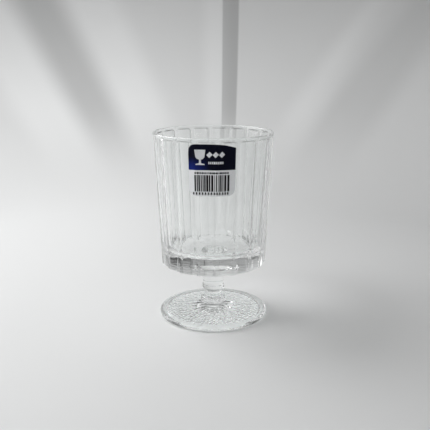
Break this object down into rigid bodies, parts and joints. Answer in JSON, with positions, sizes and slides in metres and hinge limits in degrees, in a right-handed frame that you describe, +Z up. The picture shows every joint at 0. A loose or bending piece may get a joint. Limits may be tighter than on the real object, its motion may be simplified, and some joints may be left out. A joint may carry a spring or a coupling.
{
  "type": "ice cream glass",
  "caption": "Stemmed ice cream glass: tapered panelled bowl with a thick base, short beaded stem, round foot with a star pressed under it, and a plain sticker.",
  "frame": {"origin": "centre of the ring that the foot stands on, at the surface it stands on", "axes": "+Z up along the axis of the bowl and stem, -Y towards the side that carries the label"},
  "size_m": [0.0798, 0.08, 0.127],
  "materials": {
    "bowl_glass": "clear, fire-polished",
    "stem_glass": "clear, fire-polished",
    "foot_glass": "clear, with a pressed star underneath",
    "label_film": "white film with a navy header, semi-gloss"
  },
  "bodies": {
    "root": {"bowl": "bowl_glass", "stem": "stem_glass", "foot": "foot_glass", "label": "label_film"}
  },
  "joints": []
}
